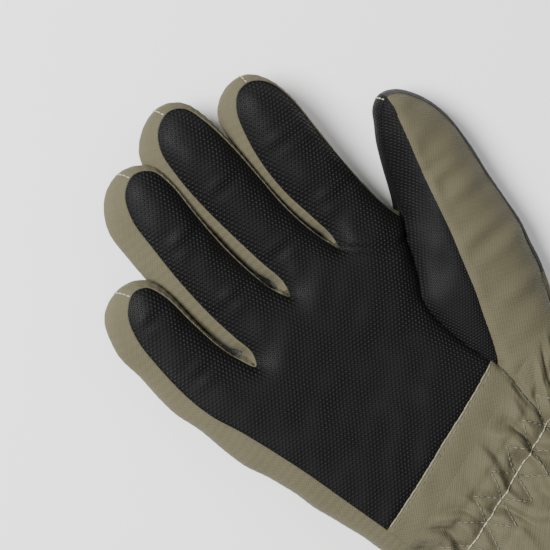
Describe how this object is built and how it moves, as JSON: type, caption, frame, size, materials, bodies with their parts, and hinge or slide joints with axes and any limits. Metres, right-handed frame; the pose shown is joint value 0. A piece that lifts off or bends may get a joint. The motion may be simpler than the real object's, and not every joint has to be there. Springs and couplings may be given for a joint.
{
  "type": "ski glove",
  "caption": "Insulated right-hand winter glove with grip palm, side-walled fingers, elasticated wrist and open gauntlet cuff, folding at digits and wrist.",
  "frame": {"origin": "on the flat rest face of the back of the hand, under the middle of the palm", "axes": "+Z out of the palm, +Y towards the fingertips, +X towards the thumb"},
  "size_m": [0.1646, 0.2964, 0.0606],
  "materials": {
    "olive_shell_fabric": "fine matt plain weave with sewn seams",
    "black_grip_fabric": "raised dot texture, low gloss",
    "black_wipe_panel": "soft brushed",
    "insulation_fleece": "lofted wadding on brushed fleece",
    "fleece_lining": "brushed fleece",
    "elastic_band": "knitted elastic",
    "black_binding": "ribbed tape"
  },
  "bodies": {
    "hand": {"back_of_hand_panel": "olive_shell_fabric", "finger_fork_roots": "olive_shell_fabric", "hand_insulation": "insulation_fleece", "hand_lining": "fleece_lining", "index_side_wall": "olive_shell_fabric", "little_side_wall": "olive_shell_fabric", "palm_panel": "black_grip_fabric", "thumb_root_back_panel": "black_wipe_panel", "thumb_root_front_panel": "black_grip_fabric", "thumb_root_liner": "insulation_fleece", "thumb_root_side_walls": "olive_shell_fabric", "wrist_panel": "olive_shell_fabric"},
    "cuff": {"cuff_back_panel": "olive_shell_fabric", "cuff_front_panel": "olive_shell_fabric", "cuff_insulation": "insulation_fleece", "cuff_lining": "fleece_lining", "hang_loop": "black_binding", "hem_binding": "black_binding", "wrist_elastic": "elastic_band"},
    "index_base": {"index_base_back_panel": "olive_shell_fabric", "index_base_front_panel": "black_grip_fabric", "index_base_liner": "insulation_fleece", "index_base_side_walls": "olive_shell_fabric"},
    "index_tip": {"index_tip_back_panel": "olive_shell_fabric", "index_tip_front_panel": "black_grip_fabric", "index_tip_liner": "insulation_fleece", "index_tip_side_walls": "olive_shell_fabric"},
    "middle_base": {"middle_base_back_panel": "olive_shell_fabric", "middle_base_front_panel": "black_grip_fabric", "middle_base_liner": "insulation_fleece", "middle_base_side_walls": "olive_shell_fabric"},
    "middle_tip": {"middle_tip_back_panel": "olive_shell_fabric", "middle_tip_front_panel": "black_grip_fabric", "middle_tip_liner": "insulation_fleece", "middle_tip_side_walls": "olive_shell_fabric"},
    "ring_base": {"ring_base_back_panel": "olive_shell_fabric", "ring_base_front_panel": "black_grip_fabric", "ring_base_liner": "insulation_fleece", "ring_base_side_walls": "olive_shell_fabric"},
    "ring_tip": {"ring_tip_back_panel": "olive_shell_fabric", "ring_tip_front_panel": "black_grip_fabric", "ring_tip_liner": "insulation_fleece", "ring_tip_side_walls": "olive_shell_fabric"},
    "little_base": {"little_base_back_panel": "olive_shell_fabric", "little_base_front_panel": "black_grip_fabric", "little_base_liner": "insulation_fleece", "little_base_side_walls": "olive_shell_fabric"},
    "little_tip": {"little_tip_back_panel": "olive_shell_fabric", "little_tip_front_panel": "black_grip_fabric", "little_tip_liner": "insulation_fleece", "little_tip_side_walls": "olive_shell_fabric"},
    "thumb_base": {"thumb_base_back_panel": "black_wipe_panel", "thumb_base_front_panel": "black_grip_fabric", "thumb_base_liner": "insulation_fleece", "thumb_base_side_walls": "olive_shell_fabric"},
    "thumb_tip": {"thumb_tip_back_panel": "black_wipe_panel", "thumb_tip_front_panel": "black_grip_fabric", "thumb_tip_liner": "insulation_fleece", "thumb_tip_side_walls": "olive_shell_fabric"}
  },
  "joints": [
    {"name": "wrist_fold", "type": "hinge", "parent": "hand", "child": "cuff", "pos_m": [0.015, -0.055, 0.0145], "axis": [0.9781, 0.2079, 0], "range_deg": [-40, 30]},
    {"name": "index_base_fold", "type": "hinge", "parent": "hand", "child": "index_base", "pos_m": [0.04137, 0.06393, 0.0135], "axis": [0.9962, -0.0872, 0], "range_deg": [0, 65]},
    {"name": "index_tip_fold", "type": "hinge", "parent": "index_base", "child": "index_tip", "pos_m": [0.04416, 0.09581, 0.0135], "axis": [0.9962, -0.0872, 0], "range_deg": [0, 65]},
    {"name": "middle_base_fold", "type": "hinge", "parent": "hand", "child": "middle_base", "pos_m": [0.01237, 0.06399, 0.0135], "axis": [0.9997, -0.0262, 0], "range_deg": [0, 65]},
    {"name": "middle_tip_fold", "type": "hinge", "parent": "middle_base", "child": "middle_tip", "pos_m": [0.01334, 0.10098, 0.0135], "axis": [0.9997, -0.0262, 0], "range_deg": [0, 65]},
    {"name": "ring_base_fold", "type": "hinge", "parent": "hand", "child": "ring_base", "pos_m": [-0.0159, 0.064, 0.0135], "axis": [1, 0, 0], "range_deg": [0, 65]},
    {"name": "ring_tip_fold", "type": "hinge", "parent": "ring_base", "child": "ring_tip", "pos_m": [-0.0159, 0.096, 0.0135], "axis": [1, 0, 0], "range_deg": [0, 65]},
    {"name": "little_base_fold", "type": "hinge", "parent": "hand", "child": "little_base", "pos_m": [-0.0478, 0.0525, 0.0135], "axis": [1, 0, 0], "range_deg": [0, 65]},
    {"name": "little_tip_fold", "type": "hinge", "parent": "little_base", "child": "little_tip", "pos_m": [-0.0478, 0.0795, 0.0135], "axis": [1, 0, 0], "range_deg": [0, 65]},
    {"name": "thumb_base_fold", "type": "hinge", "parent": "hand", "child": "thumb_base", "pos_m": [0.07891, 0.04412, 0.0185], "axis": [0.9482, -0.1843, 0.2588], "range_deg": [0, 30]},
    {"name": "thumb_tip_fold", "type": "hinge", "parent": "thumb_base", "child": "thumb_tip", "pos_m": [0.08244, 0.06228, 0.0185], "axis": [0.9482, -0.1843, 0.2588], "range_deg": [0, 30]}
  ],
  "couplings": [
    {"joint": "index_tip_fold", "follows": "index_base_fold", "ratio": 1},
    {"joint": "middle_tip_fold", "follows": "middle_base_fold", "ratio": 1},
    {"joint": "ring_tip_fold", "follows": "ring_base_fold", "ratio": 1},
    {"joint": "little_tip_fold", "follows": "little_base_fold", "ratio": 1},
    {"joint": "thumb_tip_fold", "follows": "thumb_base_fold", "ratio": 1}
  ]
}
